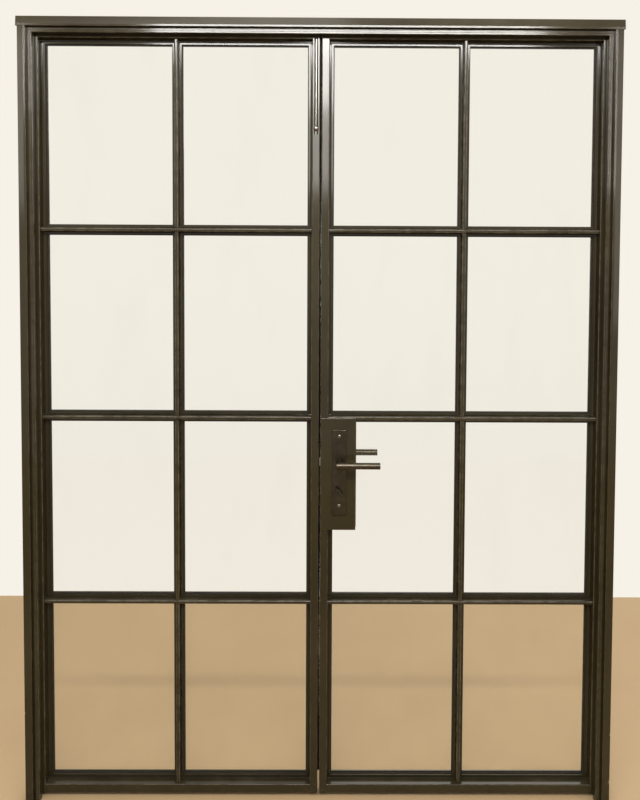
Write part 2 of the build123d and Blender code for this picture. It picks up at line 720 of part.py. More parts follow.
def build_right_meeting_stile():
    """Meeting stile cut for the lock, with two lugs behind the ends of its face plate."""
    stile = plain_meeting_stile()
    stile -= block(GLASS_X0, GLASS_X0 + FIN_W, FIN_Y, FAR, BOX_BOTTOM_Z, BOX_TOP_Z)
    half = FACEPLATE_W / 2 + FACEPLATE_FIT
    fit = FACEPLATE_FIT
    stile -= block(LEAF_X0, LEAF_X0 + TUBE_WALL, -half, half, FACE_Z0 - fit, FACE_Z1 + fit)
    case_half = CASE_T / 2 + LOCK_CLEARANCE
    stile -= block(GLASS_X0 - TUBE_WALL, GLASS_X0, -case_half, case_half,
                   CASE_Z0 - LOCK_CLEARANCE, CASE_Z1 + LOCK_CLEARANCE)
    inner = NEAR + TUBE_WALL
    for z in LUG_ZS:
        lug = block(CASE_X0, CASE_X0 + FACEPLATE_T, inner, -inner, z - LUG_H / 2, z + LUG_H / 2)
        stile += lug - rod(LOCK_SCREW_R, (CASE_X0, 0, z), (1, 0, 0), FACEPLATE_T)
    return stile


def build_lock_box():
    """Steel strip folded round three sides of the lock, with a fin behind the notched pane."""
    box = block(GLASS_X0, BOX_X1, NEAR, FAR, BOX_BOTTOM_Z, BOX_TOP_Z)
    box -= block(GLASS_X0, BOX_X1 - BOX_WALL, NEAR, FAR,
                 BOX_BOTTOM_Z + BOX_WALL, BOX_TOP_Z - BOX_WALL)
    fin_z0 = BOX_BOTTOM_Z - FLANGE_WING
    fin_z1 = LOCK_BAR_Z - RIB_W / 2 - FLANGE_WING
    box += block(BOX_X1, BOX_X1 + FLANGE_WING, FIN_Y, FAR, fin_z0, fin_z1)
    return box + block(GLASS_X0 + FIN_W, BOX_X1, FIN_Y, FAR, fin_z0, BOX_BOTTOM_Z)


PLATE_BOLT_ZS = (LEVER_Z + BOLT_ABOVE_LEVER, LEVER_Z - BOLT_BELOW_LEVER)


def hardware_holes(y0, y1, room):
    """Holes along Y for the levers' necks, the turn's stems and the plate bolts."""
    depth = y1 - y0
    holes = rod(LEVER_R + room, (AXIS_X, y0, LEVER_Z), (0, 1, 0), depth)
    holes += rod(TURN_STEM_R + room, (AXIS_X, y0, TURN_Z), (0, 1, 0), depth)
    for z in PLATE_BOLT_ZS:
        holes += rod(PLATE_BOLT_R + HOLE_CLEARANCE, (AXIS_X, y0, z), (0, 1, 0), depth)
    return holes


def build_cover(y0, y1):
    """Plate over the lock box and the face of the meeting stile, its front edges rounded over."""
    plate = block(LEAF_X0, BOX_X1 + COVER_RIGHT_LAP, y0, y1,
                  BOX_BOTTOM_Z - COVER_BOTTOM_LAP, BOX_TOP_Z + COVER_TOP_LAP)
    front = plate.faces().sort_by(Axis.Y)[0]
    plate = fillet(front.edges(), COVER_EDGE_R)
    return plate - hardware_holes(y0, y1, HOLE_CLEARANCE)


def build_lock_case():
    """Flat lock case with passages for the latch, the deadbolt and both followers."""
    half = CASE_T / 2
    case = block(CASE_X0, LEAF_X0 + CASE_DEPTH, -half, half, CASE_Z0, CASE_Z1)
    room = LOCK_CLEARANCE
    latch_back = LEAF_X0 + LATCH_IN + LATCH_OUT + room
    bolt_back = LEAF_X0 + DEADBOLT_IN + room
    latch_half = LATCH_T / 2 + room
    bolt_half = DEADBOLT_T / 2 + room
    case -= block(CASE_X0, latch_back, -latch_half, latch_half,
                  LATCH_Z - LATCH_H / 2 - room, LATCH_Z + LATCH_H / 2 + room)
    case -= block(CASE_X0, bolt_back, -bolt_half, bolt_half,
                  TURN_Z - DEADBOLT_H / 2 - room, TURN_Z + DEADBOLT_H / 2 + room)
    case -= rod(FOLLOWER_R + FOLLOWER_FIT, (AXIS_X, -half, LEVER_Z), (0, 1, 0), CASE_T)
    return case - rod(TURN_FOLLOWER_R + FOLLOWER_FIT, (AXIS_X, -half, TURN_Z), (0, 1, 0), CASE_T)


def build_faceplate():
    half = FACEPLATE_W / 2
    plate = block(LEAF_X0, LEAF_X0 + FACEPLATE_T, -half, half, FACE_Z0, FACE_Z1)
    plate -= strike_mouths(LEAF_X0, LEAF_X0 + FACEPLATE_T, LOCK_CLEARANCE)
    for z in LUG_ZS:
        plate -= countersunk(LEAF_X0, z, 1, LOCK_SCREW_L)
    return plate


def build_latch():
    """Sprung latch tongue, bevelled on the side that meets the strike as the door closes."""
    tip = LEAF_X0 - LATCH_OUT
    back = LEAF_X0 + LATCH_IN
    half = LATCH_T / 2
    points = [(tip, -half), (back, -half), (back, half), (LEAF_X0, half), (tip, -half + 1)]
    return upright_piece(filled(points), LATCH_Z - LATCH_H / 2, LATCH_Z + LATCH_H / 2)


def build_deadbolt():
    half = DEADBOLT_T / 2
    return block(LEAF_X0, LEAF_X0 + DEADBOLT_IN, -half, half,
                 TURN_Z - DEADBOLT_H / 2, TURN_Z + DEADBOLT_H / 2)


# Furniture on both faces of the lock box
def square_hole(side, y0, y1, z):
    half = side / 2
    return block(AXIS_X - half, AXIS_X + half, y0, y1, z - half, z + half)


def build_back_plate():
    """Long plate on the near cover, its front edges rounded over."""
    half = PLATE_W / 2
    y0 = COVER_NEAR - PLATE_T
    plate = block(AXIS_X - half, AXIS_X + half, y0, COVER_NEAR,
                  LEVER_Z - PLATE_BELOW_LEVER, LEVER_Z + PLATE_ABOVE_LEVER)
    front = plate.faces().sort_by(Axis.Y)[0]
    plate = fillet(front.edges(), PLATE_EDGE_R)
    return plate - hardware_holes(y0, COVER_NEAR, LEVER_FIT)


def build_follower(radius, side, z):
    half = CASE_T / 2
    disc = rod(radius, (AXIS_X, -half, z), (0, 1, 0), CASE_T)
    return disc - square_hole(side, -half, half, z)


LEVER_Y = COVER_NEAR - LEVER_PROJECTION
NECK_Y = COVER_NEAR - PLATE_T + LEVER_SEAT


def build_lever():
    """Round bar turned through a mitred corner, with a square socket in its neck."""
    corner = (AXIS_X, LEVER_Y, LEVER_Z)
    path = Polyline((AXIS_X, NECK_Y, LEVER_Z), corner, (AXIS_X + LEVER_REACH, LEVER_Y, LEVER_Z))
    start = Plane(origin=(AXIS_X, NECK_Y, LEVER_Z), z_dir=(0, -1, 0))
    lever = sweep(start * Circle(LEVER_R), path=path, transition=Transition.RIGHT)
    lever = fillet(lever.edges().sort_by(Axis.X)[-1], LEVER_END_R)
    side = SPINDLE_SIDE + 2 * SPINDLE_FIT
    return lever - square_hole(side, NECK_Y - SPINDLE_IN_LEVER, NECK_Y, LEVER_Z)


def build_spindle():
    reach = -NECK_Y + SPINDLE_IN_LEVER
    return square_hole(SPINDLE_SIDE, -reach, reach, LEVER_Z)


TURN_FACE = COVER_NEAR - PLATE_T
TURN_SEAT_Y = TURN_FACE + LEVER_SEAT


def build_thumb_turn():
    """Oval grip on a round stem that turns in the back plate."""
    stem = rod(TURN_STEM_R, (AXIS_X, TURN_SEAT_Y, TURN_Z), (0, -1, 0), TURN_STEM_L)
    face_y = TURN_SEAT_Y - TURN_STEM_L + 1
    along = Vector(0, 0, 1).rotate(Axis.Y, -TURN_TILT)
    grip_plane = Plane(origin=(AXIS_X, face_y, TURN_Z), x_dir=along, z_dir=(0, -1, 0))
    grip = extrude(grip_plane * Ellipse(TURN_GRIP_L / 2, TURN_GRIP_W / 2), TURN_GRIP_H)
    grip = fillet(grip.edges().sort_by(Axis.Y)[0], TURN_GRIP_R)
    turn = stem + grip
    side = TURN_SPINDLE_SIDE + 2 * SPINDLE_FIT
    return turn - square_hole(side, TURN_SEAT_Y - TURN_SPINDLE_IN, TURN_SEAT_Y, TURN_Z)


def build_turn_spindle():
    reach = -TURN_SEAT_Y + TURN_SPINDLE_IN
    return square_hole(TURN_SPINDLE_SIDE, -reach, reach, TURN_Z)


def build_release():
    """Slotted disc on the far plate that opens the lock with a coin."""
    end = -TURN_FACE + RELEASE_L
    disc = rod(TURN_STEM_R, (AXIS_X, -TURN_SEAT_Y, TURN_Z), (0, 1, 0), end + TURN_SEAT_Y)
    side = TURN_SPINDLE_SIDE + 2 * SPINDLE_FIT
    disc -= square_hole(side, -TURN_SEAT_Y, -TURN_SEAT_Y + TURN_SPINDLE_IN, TURN_Z)
    half = RELEASE_SLOT_W / 2
    return disc - block(AXIS_X - half, AXIS_X + half, end - RELEASE_SLOT_D, end,
                        TURN_Z - TURN_STEM_R, TURN_Z + TURN_STEM_R)


def build_plate_bolt(z):
    """Screw through both plates, a head at each end."""
    reach = -TURN_FACE
    bolt = rod(PLATE_BOLT_R, (AXIS_X, -reach, z), (0, 1, 0), 2 * reach)
    bolt += rod(PLATE_BOLT_HEAD_R, (AXIS_X, -reach, z), (0, -1, 0), PLATE_BOLT_HEAD_H)
    return bolt + rod(PLATE_BOLT_HEAD_R, (AXIS_X, reach, z), (0, 1, 0), PLATE_BOLT_HEAD_H)


def to_far_side(shape):
    """The same piece mirrored onto the far face of the door."""
    return mirror(shape, about=Plane.XZ)


# Nodes
nodes = {}
nodes["jamb_left"] = [build_jamb(-1)]
nodes["jamb_right"] = [build_jamb(1)]
nodes["head_tube"] = [build_head()]
nodes["side_stops"] = [build_side_stop(-1), build_side_stop(1)]
nodes["head_stop"] = [build_head_stop()]
nodes["side_trims"] = [build_side_trim(-1), build_side_trim(1)]
nodes["head_trim"] = [build_head_trim()]
nodes["stop_seals"] = build_stop_seals()
nodes["bolt_keeper"] = [build_keeper()]

hinges = {side: [build_hinge(z, side) for z in HINGE_ZS] for side in (-1, 1)}
nodes["hinge_frame_halves"] = [hinge[0] for side in (-1, 1) for hinge in hinges[side]]
nodes["hinge_pins"] = [hinge[2] for side in (-1, 1) for hinge in hinges[side]]

top_rail = build_rail(GLASS_Z1, TOP_RAIL_H, 1)
bottom_rail = build_rail(GLASS_Z0, BOTTOM_RAIL_H, -1)
upright_bar = build_upright_bar()
cross_bars = [build_cross_bar(z) for z in BAR_ZS]
openings = pane_openings()
notched_at = lock_opening(openings)
right_openings = list(openings)
right_openings[notched_at] = notched_opening(*openings[notched_at])

for side, name in ((-1, "left"), (1, "right")):
    cells = openings if side < 0 else right_openings
    plain = [cell for i, cell in enumerate(cells) if side < 0 or i != notched_at]
    bars = list(cross_bars)
    if side > 0:
        lower_wing = block(GLASS_X0, BOX_X1, FIN_Y, FAR, BOX_TOP_Z - FLANGE_WING, BOX_TOP_Z)
        bars[1] = bars[1] - lower_wing
    nodes[name + "_hinge_stile"] = [build_hinge_stile(side)]
    nodes[name + "_top_rail"] = [on_side(top_rail, side)]
    nodes[name + "_bottom_rail"] = [on_side(bottom_rail, side)]
    nodes[name + "_upright_bar"] = [on_side(upright_bar, side)]
    nodes[name + "_cross_bars"] = [on_side(bar, side) for bar in bars]
    nodes[name + "_panes"] = [on_side(build_pane(*cell), side) for cell in plain]
    nodes[name + "_gaskets"] = [on_side(build_gasket(*cell), side) for cell in cells]
    nodes[name + "_glazing_tape"] = [on_side(build_tape(*cell), side) for cell in cells]
    nodes[name + "_glazing_beads"] = [on_side(strip, side) for cell in cells for strip in build_beads(*cell)]
    nodes[name + "_hinge_leaf_halves"] = [hinge[1] for hinge in hinges[side]]

nodes["left_meeting_stile"] = [build_left_meeting_stile()]
nodes["meeting_seal"] = [build_meeting_seal()]
nodes["strike_plate"] = [build_strike_plate()]
nodes["strike_screws"] = [countersunk(STRIKE_X + STRIKE_T, z, -1, LOCK_SCREW_L) for z in STRIKE_SCREW_ZS]
nodes["bolt_rod"] = [build_bolt_rod()]
nodes["bolt_button"] = [build_button()]
nodes["bolt_guide"] = [build_guide()]

nodes["right_meeting_stile"] = [build_right_meeting_stile()]
nodes["right_notched_pane"] = [build_pane(*right_openings[notched_at])]
nodes["lock_box"] = [build_lock_box()]
near_cover = build_cover(COVER_NEAR, NEAR)
nodes["near_cover_plate"] = [near_cover]
nodes["far_cover_plate"] = [to_far_side(near_cover)]
nodes["lock_case"] = [build_lock_case()]
nodes["lock_faceplate"] = [build_faceplate()]
nodes["faceplate_screws"] = [countersunk(LEAF_X0, z, 1, LOCK_SCREW_L) for z in LUG_ZS]
nodes["latch_tongue"] = [build_latch()]
nodes["deadbolt"] = [build_deadbolt()]
back_plate = build_back_plate()
nodes["near_back_plate"] = [back_plate]
nodes["far_back_plate"] = [to_far_side(back_plate)]
nodes["plate_bolts"] = [build_plate_bolt(z) for z in PLATE_BOLT_ZS]
lever = build_lever()
nodes["near_lever"] = [lever]
nodes["far_lever"] = [to_far_side(lever)]
nodes["lever_spindle"] = [build_spindle()]
nodes["lever_follower"] = [build_follower(FOLLOWER_R, SPINDLE_SIDE, LEVER_Z)]
nodes["thumb_turn"] = [build_thumb_turn()]
nodes["turn_spindle"] = [build_turn_spindle()]
nodes["turn_follower"] = [build_follower(TURN_FOLLOWER_R, TURN_SPINDLE_SIDE, TURN_Z)]
nodes["emergency_release"] = [build_release()]

os.makedirs("parts", exist_ok=True)
for name, pieces in nodes.items():
    solids = [solid for piece in pieces for solid in piece.solids()]
    shape = solids[0] if len(solids) == 1 else Compound(children=solids)
    shape.label = name
    export_step(shape, "parts/" + name + ".step")
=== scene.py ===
import math
import random

import bmesh
import bpy
from mathutils import Matrix, Vector


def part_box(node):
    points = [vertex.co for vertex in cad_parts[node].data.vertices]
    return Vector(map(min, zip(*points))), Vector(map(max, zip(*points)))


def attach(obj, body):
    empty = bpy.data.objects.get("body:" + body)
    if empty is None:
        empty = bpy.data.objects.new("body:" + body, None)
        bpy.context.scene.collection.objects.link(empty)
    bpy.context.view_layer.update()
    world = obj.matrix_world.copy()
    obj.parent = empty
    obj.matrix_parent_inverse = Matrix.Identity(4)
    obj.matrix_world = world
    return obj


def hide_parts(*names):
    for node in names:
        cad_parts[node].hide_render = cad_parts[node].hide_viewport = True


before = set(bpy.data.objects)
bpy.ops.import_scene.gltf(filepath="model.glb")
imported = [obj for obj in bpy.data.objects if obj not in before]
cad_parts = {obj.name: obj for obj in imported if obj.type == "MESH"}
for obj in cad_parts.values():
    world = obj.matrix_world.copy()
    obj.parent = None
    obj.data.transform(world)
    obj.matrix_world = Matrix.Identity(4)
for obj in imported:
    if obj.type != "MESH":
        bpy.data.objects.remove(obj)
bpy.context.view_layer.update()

# Camera. It stands where the photograph was taken: 1.94 m in front of the doors, 1.47 m above the
# floor, 35 mm to the right of the meeting gap, tipped down a little. The shift sets the doors in
# the picture as the photograph's crop does. Lengths in the picture are in pixels.
EYE = (0.0352, -1.9358, 1.4747)
YAW, PITCH, ROLL = -0.0049, -0.0385, -0.0050
PICTURE_H = 800
FOCAL = 730
SHIFT_X, SHIFT_Y = -17.2, -121.7
SENSOR_W = 36.0
camera_data = bpy.data.cameras.new("camera")
camera_data.sensor_width = SENSOR_W
camera_data.lens = SENSOR_W * FOCAL / PICTURE_H
camera_data.shift_x = SHIFT_X / PICTURE_H
camera_data.shift_y = SHIFT_Y / PICTURE_H
camera = bpy.data.objects.new("camera", camera_data)
bpy.context.scene.collection.objects.link(camera)
level = Matrix.Rotation(math.pi / 2, 4, "X")
aim = Matrix.Rotation(YAW, 4, "Z") @ Matrix.Rotation(PITCH, 4, "X") @ Matrix.Rotation(ROLL, 4, "Y")
camera.matrix_world = Matrix.Translation(EYE) @ aim @ level
bpy.context.scene.camera = camera
bpy.context.scene.view_settings.view_transform = "Standard"


# World. A pale cream wall to the camera and through glass. In gloss it gets darker low down, and
# as light it is a soft white from above and dim from below.
class Tone:
    """One value or colour on its way through a finish. Sums on tones add their Math nodes."""

    def __init__(self, tree, socket=None):
        self.tree = tree
        self.socket = socket

    def node(self, kind, settings=None, feeds=None, out=0):
        """Adds a node: its settings first, then what its sockets are given."""
        added = self.tree.nodes.new(kind)
        for name, value in (settings or {}).items():
            setattr(added, name, value)
        for name, value in (feeds or {}).items():
            if isinstance(value, Tone):
                self.tree.links.new(value.socket, added.inputs[name])
            else:
                added.inputs[name].default_value = value
        return Tone(self.tree, added.outputs[out] if added.outputs else None)

    def maths(self, operation, first, second=0.0):
        return self.node("ShaderNodeMath", {"operation": operation}, {0: first, 1: second})

    def __add__(self, other):
        return self.maths("ADD", self, other)

    def __mul__(self, other):
        return self.maths("MULTIPLY", self, other)

    def __pow__(self, other):
        return self.maths("POWER", self, other)

    def __abs__(self):
        return self.maths("ABSOLUTE", self)

    __radd__ = __add__
    __rmul__ = __mul__

    def rise(self, low, high):
        """0 at low, 1 at high, and an even curve between them."""
        ends = {"Value": self, "From Min": low, "From Max": high}
        return self.node("ShaderNodeMapRange", {"interpolation_type": "SMOOTHSTEP"}, ends)

    def blend(self, first, second):
        """The first colour where the tone is 0, the second where it is 1."""
        return self.node("ShaderNodeMix", {"data_type": "RGBA"}, {0: self, 6: first, 7: second}, 2)

    def stretch(self, x, y, z):
        return self.node("ShaderNodeVectorMath", {"operation": "MULTIPLY"}, {0: self, 1: (x, y, z)})

    def along(self, axis):
        """How far a place or a direction reaches along X, Y or Z."""
        return self.node("ShaderNodeSeparateXYZ", None, {"Vector": self}, axis)

    def cloud(self, scale, detail=2.0, rough=0.5):
        """Noise with about that many lumps to the metre, at this place."""
        feeds = {"Vector": self, "Scale": scale, "Detail": detail, "Roughness": rough}
        return self.node("ShaderNodeTexNoise", None, feeds)

    def relief(self, height, strength=1.0):
        """The surface raised by the tone, where 1 stands that many metres above 0."""
        feeds = {"Height": self, "Distance": height, "Strength": strength}
        return self.node("ShaderNodeBump", None, feeds)


CREAM = (0.93, 0.885, 0.80, 1.0)
LOW_CREAM = (0.08, 0.065, 0.045, 1.0)
LIGHT_ABOVE = (0.62, 0.607, 0.582, 1.0)
LIGHT_BELOW = (0.08, 0.07, 0.06, 1.0)
LIGHT_FROM, LIGHT_TO = -0.7, 0.5
GLOSS_FROM, GLOSS_TO = -0.62, 0.1
world = bpy.data.worlds.new("studio")
bpy.context.scene.world = world
world.use_nodes = True
world.node_tree.nodes.clear()
sky = Tone(world.node_tree)
upward = sky.node("ShaderNodeTexCoord", out="Generated").along("Z")
seen = sky.node("ShaderNodeLightPath", out="Is Camera Ray")
seen = seen + sky.node("ShaderNodeLightPath", out="Is Transmission Ray")
in_gloss = sky.node("ShaderNodeLightPath", out="Is Glossy Ray")
light_tint = upward.rise(LIGHT_FROM, LIGHT_TO).blend(LIGHT_BELOW, LIGHT_ABOVE)
gloss_tint = upward.rise(GLOSS_FROM, GLOSS_TO).blend(LOW_CREAM, CREAM)
as_light = sky.node("ShaderNodeBackground", None, {"Color": light_tint})
as_gloss = sky.node("ShaderNodeBackground", None, {"Color": gloss_tint})
as_wall = sky.node("ShaderNodeBackground", None, {"Color": CREAM})
shown = sky.node("ShaderNodeMixShader", None, {0: in_gloss, 1: as_light, 2: as_gloss})
shown = sky.node("ShaderNodeMixShader", None, {0: seen, 1: shown, 2: as_wall})
sky.node("ShaderNodeOutputWorld", None, {"Surface": shown})


# Floor. A pale warm board, matt and a little gritty, that ends 1.12 m behind the doors, where the
# photograph's floor meets its wall.
def blank(name):
    """A new finish with nothing in it: the material, a tone to build it from, and the place."""
    made = bpy.data.materials.new(name)
    made.use_nodes = True
    made.node_tree.nodes.clear()
    mix = Tone(made.node_tree)
    return made, mix, mix.node("ShaderNodeTexCoord", out="Object")


def close(mix, feeds):
    """Ends a finish in one shader, with what its sockets are given."""
    shader = mix.node("ShaderNodeBsdfPrincipled", None, feeds)
    mix.node("ShaderNodeOutputMaterial", None, {"Surface": shader})


FLOOR_X, FLOOR_NEAR, FLOOR_FAR = 3.2, -3.2, 1.12
BOARD_DARK = (0.52, 0.358, 0.190, 1.0)
BOARD_LIGHT = (0.59, 0.418, 0.232, 1.0)
board, mix, place = blank("floor_board")
tint = place.cloud(3.0, 4.0).blend(BOARD_DARK, BOARD_LIGHT)
grit = place.cloud(260.0).relief(0.0004)
close(mix, {"Base Color": tint, "Roughness": 0.6 + 0.2 * place.cloud(30.0), "Normal": grit})
near_edge = [(-FLOOR_X, FLOOR_NEAR, 0), (FLOOR_X, FLOOR_NEAR, 0)]
far_edge = [(FLOOR_X, FLOOR_FAR, 0), (-FLOOR_X, FLOOR_FAR, 0)]
floor_mesh = bpy.data.meshes.new("floor")
floor_mesh.from_pydata(near_edge + far_edge, [], [(0, 1, 2, 3)])
floor_mesh.materials.append(board)
floor = bpy.data.objects.new("floor", floor_mesh)
bpy.context.scene.collection.objects.link(floor)


# Lamps. Panels at the camera's distance draw the bright lines that the photograph has along the
# head, beside the meeting gap and down the side trims. Three large boxes light the whole. All are
# kept off the panes, where their mirror image would stand as a white patch.
LAMP_TINT = (1.0, 0.975, 0.94)
beside_panes = bpy.data.collections.new("beside_panes")
for name in ("left_panes", "right_panes", "right_notched_pane"):
    beside_panes.objects.link(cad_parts[name])
for pane in beside_panes.collection_objects:
    pane.light_linking.link_state = "EXCLUDE"


def lamp(name, where, towards, width, height, radiance):
    """A flat warm-white lamp. The radiance is how bright its face looks, where 1 is white."""
    light = bpy.data.lights.new(name, "AREA")
    light.shape = "RECTANGLE"
    light.size, light.size_y = width, height
    light.energy = radiance * math.pi * width * height
    light.color = LAMP_TINT
    made = bpy.data.objects.new(name, light)
    made.location = where
    made.rotation_euler = (Vector(towards) - Vector(where)).to_track_quat("-Z", "Y").to_euler()
    made.visible_camera = made.visible_transmission = False
    made.light_linking.receiver_collection = beside_panes
    bpy.context.scene.collection.objects.link(made)


PANEL_Y = -1.936
PANELS = [("head_strip", 0.10, 2.585, 2.00, 0.13, 50.0),
          ("high_meeting_panel", -0.03, 2.37, 0.18, 0.30, 37.0),
          ("low_meeting_panel", -0.03, 2.00, 0.18, 0.42, 11.0),
          ("left_side_strip", -1.562, 2.40, 0.03, 0.44, 46.0),
          ("right_side_strip", 1.492, 2.20, 0.03, 0.84, 36.0),
          ("left_side_box", -1.87, 2.16, 0.34, 0.92, 3.2),
          ("right_side_box", 1.80, 1.85, 0.34, 1.54, 1.7)]
for name, x, z, width, height, radiance in PANELS:
    lamp(name, (x, PANEL_Y, z), (x, 0.0, z), width, height, radiance)
lamp("near_soft_box", (-0.9, -2.2, 3.6), (0.0, 0.0, 1.6), 2.4, 1.2, 3.2)
lamp("right_soft_box", (3.2, -1.8, 2.5), (0.0, 0.0, 1.3), 1.4, 1.8, 2.6)
lamp("far_soft_box", (1.2, 3.4, 3.0), (0.0, 0.0, 1.0), 2.6, 1.6, 2.4)


# Frame. Two jamb tubes and a head tube of 2.5 mm steel, mitred and welded, with the stops that the
# doors close against. All of it, and the doors' own sections, is painted on site in one dark olive
# bronze, semi-gloss, dusty on its ledges and nicked down to filler. Its rounded edges are paler, in
# part rubbed and in part a painted highlight along them.
PAINT_DARK = (0.0240, 0.0180, 0.0078, 1.0)
PAINT_LIGHT = (0.0400, 0.0325, 0.0155, 1.0)
# Paler colour of the rounded edges: partly rubbed paint, partly a painted highlight.
RUBBED_AND_HIGHLIT = (0.145, 0.125, 0.088, 1.0)
DUST = (0.12, 0.10, 0.072, 1.0)
FILLER = (0.66, 0.61, 0.51, 1.0)
NICKS = [((-0.7785, -0.047, 0.245), 0.005),
         ((0.7785, -0.047, 0.190), 0.005),
         ((0.7785, -0.047, 0.060), 0.006)]
SCUFFED_H = 0.16
SQUARE_ON, ROUNDED = 0.998, 0.93
UPRIGHT, LEDGE = 0.5, 0.95


def rounded_off(mix):
    """1 on rounded edges, 0 on faces square to the axes. It reads the normal at rest."""
    facing = mix.node("ShaderNodeTexCoord", out="Normal")
    most = 0.0
    for axis in "XYZ":
        most = mix.maths("MAXIMUM", abs(facing.along(axis)), most)
    return most.rise(SQUARE_ON, ROUNDED)


def looking_up(mix):
    return mix.node("ShaderNodeTexCoord", out="Normal").along("Z").rise(UPRIGHT, LEDGE)


def coat(finish, *names):
    """Gives CAD nodes a finish in place of their plain one."""
    for name in names:
        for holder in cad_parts[name].material_slots:
            holder.material = finish


def round_about(place, spot, reach):
    """1 at the spot, falling to 0 where the place is the reach away from it."""
    ends = {0: place, 1: spot}
    away = place.node("ShaderNodeVectorMath", {"operation": "DISTANCE"}, ends, "Value")
    return away.rise(reach, 0.3 * reach)


dark_paint, mix, place = blank("dark_paint")
tint = place.cloud(2.5, 5.0, 0.6).rise(0.3, 0.7).blend(PAINT_DARK, PAINT_LIGHT)
# Rounded edges turn paler in patches: partly wear, partly a painted highlight along them.
rubbed_and_highlit = rounded_off(mix) * place.cloud(38.0, 4.0, 0.65).rise(0.38, 0.62) * 0.5
tint = rubbed_and_highlit.blend(tint, RUBBED_AND_HIGHLIT)
dust = looking_up(mix) * (0.04 + 0.18 * place.cloud(14.0, 5.0).rise(0.4, 0.75))
low_down = place.along("Z").rise(SCUFFED_H, 0.0)
scuffs = low_down * place.cloud(55.0, 5.0, 0.7).rise(0.5, 0.75) * 0.2
dust = mix.maths("MAXIMUM", dust, scuffs)
tint = dust.blend(tint, DUST)
nicked = 0.0
for spot, reach in NICKS:
    nicked = mix.maths("MAXIMUM", round_about(place, spot, reach), nicked)
nicked = nicked * place.cloud(330.0, 4.0, 0.7).rise(0.42, 0.55)
tint = nicked.blend(tint, FILLER)
runs = place.stretch(1.0, 1.0, 0.25).cloud(21.0, 4.0)
gloss = 0.10 + 0.07 * runs + 0.35 * dust + 0.12 * rubbed_and_highlit + 0.6 * nicked
peel = 0.7 * place.cloud(420.0, 1.0) + 0.3 * place.cloud(1400.0, 1.0)
skin = peel.relief(0.00003, 0.35)
close(mix, {"Base Color": tint, "Roughness": gloss, "Normal": skin, "Specular IOR Level": 0.32})
coat(dark_paint, "jamb_left", "jamb_right", "head_tube", "side_stops", "head_stop")


# Trims. Flat strips, 5 mm thick, that lap the wall: a flat lip beside the opening, a fine step,
# then a face that leans back 1.5 mm to the rounded outer edge. Sections are in mm, from the wall.
MM = 0.001
SHARP_FROM = 32
TRIM_T = 5.0
SIDE_TRIM_W = 21.0
ROUND = [(0.0, 1.0), (0.08, 0.62), (0.29, 0.29), (0.62, 0.08), (1.0, 0.0), (1.2, 0.0)]
LIP = [(5.5, 5.0), (5.8, 5.0), (6.0, 4.92), (6.1, 4.5), (6.3, 4.49)]
FALL = 1.5


def skinned(mesh, rings):
    """Walls between rings of points, each to the next, with the first and last ring filled."""
    loops = [[mesh.verts.new(point) for point in ring] for ring in rings]
    for one, other in zip(loops, loops[1:]):
        for i in range(len(one)):
            j = (i + 1) % len(one)
            mesh.faces.new((one[i], one[j], other[j], other[i]))
    mesh.faces.new(loops[0][::-1])
    mesh.faces.new(loops[-1])


def fitted(name, mesh, finish, body, facing_out=False):
    """Makes a mesh a piece that rides on a body and stands for the CAD node of its name. Its faces
    are turned outwards first, unless they face out already."""
    if not facing_out:
        bmesh.ops.recalc_face_normals(mesh, faces=mesh.faces)
    data = bpy.data.meshes.new(name)
    mesh.to_mesh(data)
    mesh.free()
    data.materials.append(finish)
    for face in data.polygons:
        face.use_smooth = True
    data.set_sharp_from_angle(angle=math.radians(SHARP_FROM))
    piece = bpy.data.objects.new(name + "_piece", data)
    bpy.context.scene.collection.objects.link(piece)
    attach(piece, body)
    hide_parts(name)


def trim_section(width):
    """Round a trim's section, from the wall on the opening's side to the wall on the other."""
    edge = [(across, TRIM_T - down) for across, down in ROUND]
    outer = [(width - across, LIP[-1][1] - FALL - down) for across, down in reversed(ROUND)]
    return [(0.0, 0.0)] + edge + LIP + outer + [(width, 0.0)]


low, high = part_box("head_trim")
section = trim_section((high[2] - low[2]) / MM)
rings = []
for x in (low[0], high[0]):
    rings.append([(x, high[1] - out * MM, low[2] + across * MM) for across, out in section])
mesh = bmesh.new()
skinned(mesh, rings)
fitted("head_trim", mesh, dark_paint, "frame")

low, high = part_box("side_trims")
section = trim_section(SIDE_TRIM_W)
inner = high[0] - SIDE_TRIM_W * MM
mesh = bmesh.new()
for side in (-1, 1):
    rings = []
    for z in (low[2], high[2]):
        outline = [(side * (inner + across * MM), high[1] - out * MM, z) for across, out in section]
        rings.append(outline)
    skinned(mesh, rings)
fitted("side_trims", mesh, dark_paint, "frame")


# Stop seals. A soft black rubber bulb on a flat foot, mitred at the top corners and stuck to the
# stops' far faces, which the closed doors lie against. The section is in mm, from the stop.
RUBBER_BLACK = (0.014, 0.012, 0.009, 1.0)
RUBBER_BLOOM = (0.075, 0.066, 0.052, 1.0)


def rubber(name, bloom):
    """Black rubber with a dull bloom and lint on it."""
    made, mix, place = blank(name)
    tint = (bloom * place.cloud(25.0, 5.0)).blend(RUBBER_BLACK, RUBBER_BLOOM)
    dull = 0.55 + 0.3 * place.cloud(80.0, 3.0)
    skin = place.cloud(900.0).relief(0.00008)
    close(mix, {"Base Color": tint, "Roughness": dull, "Normal": skin, "Specular IOR Level": 0.2})
    return made


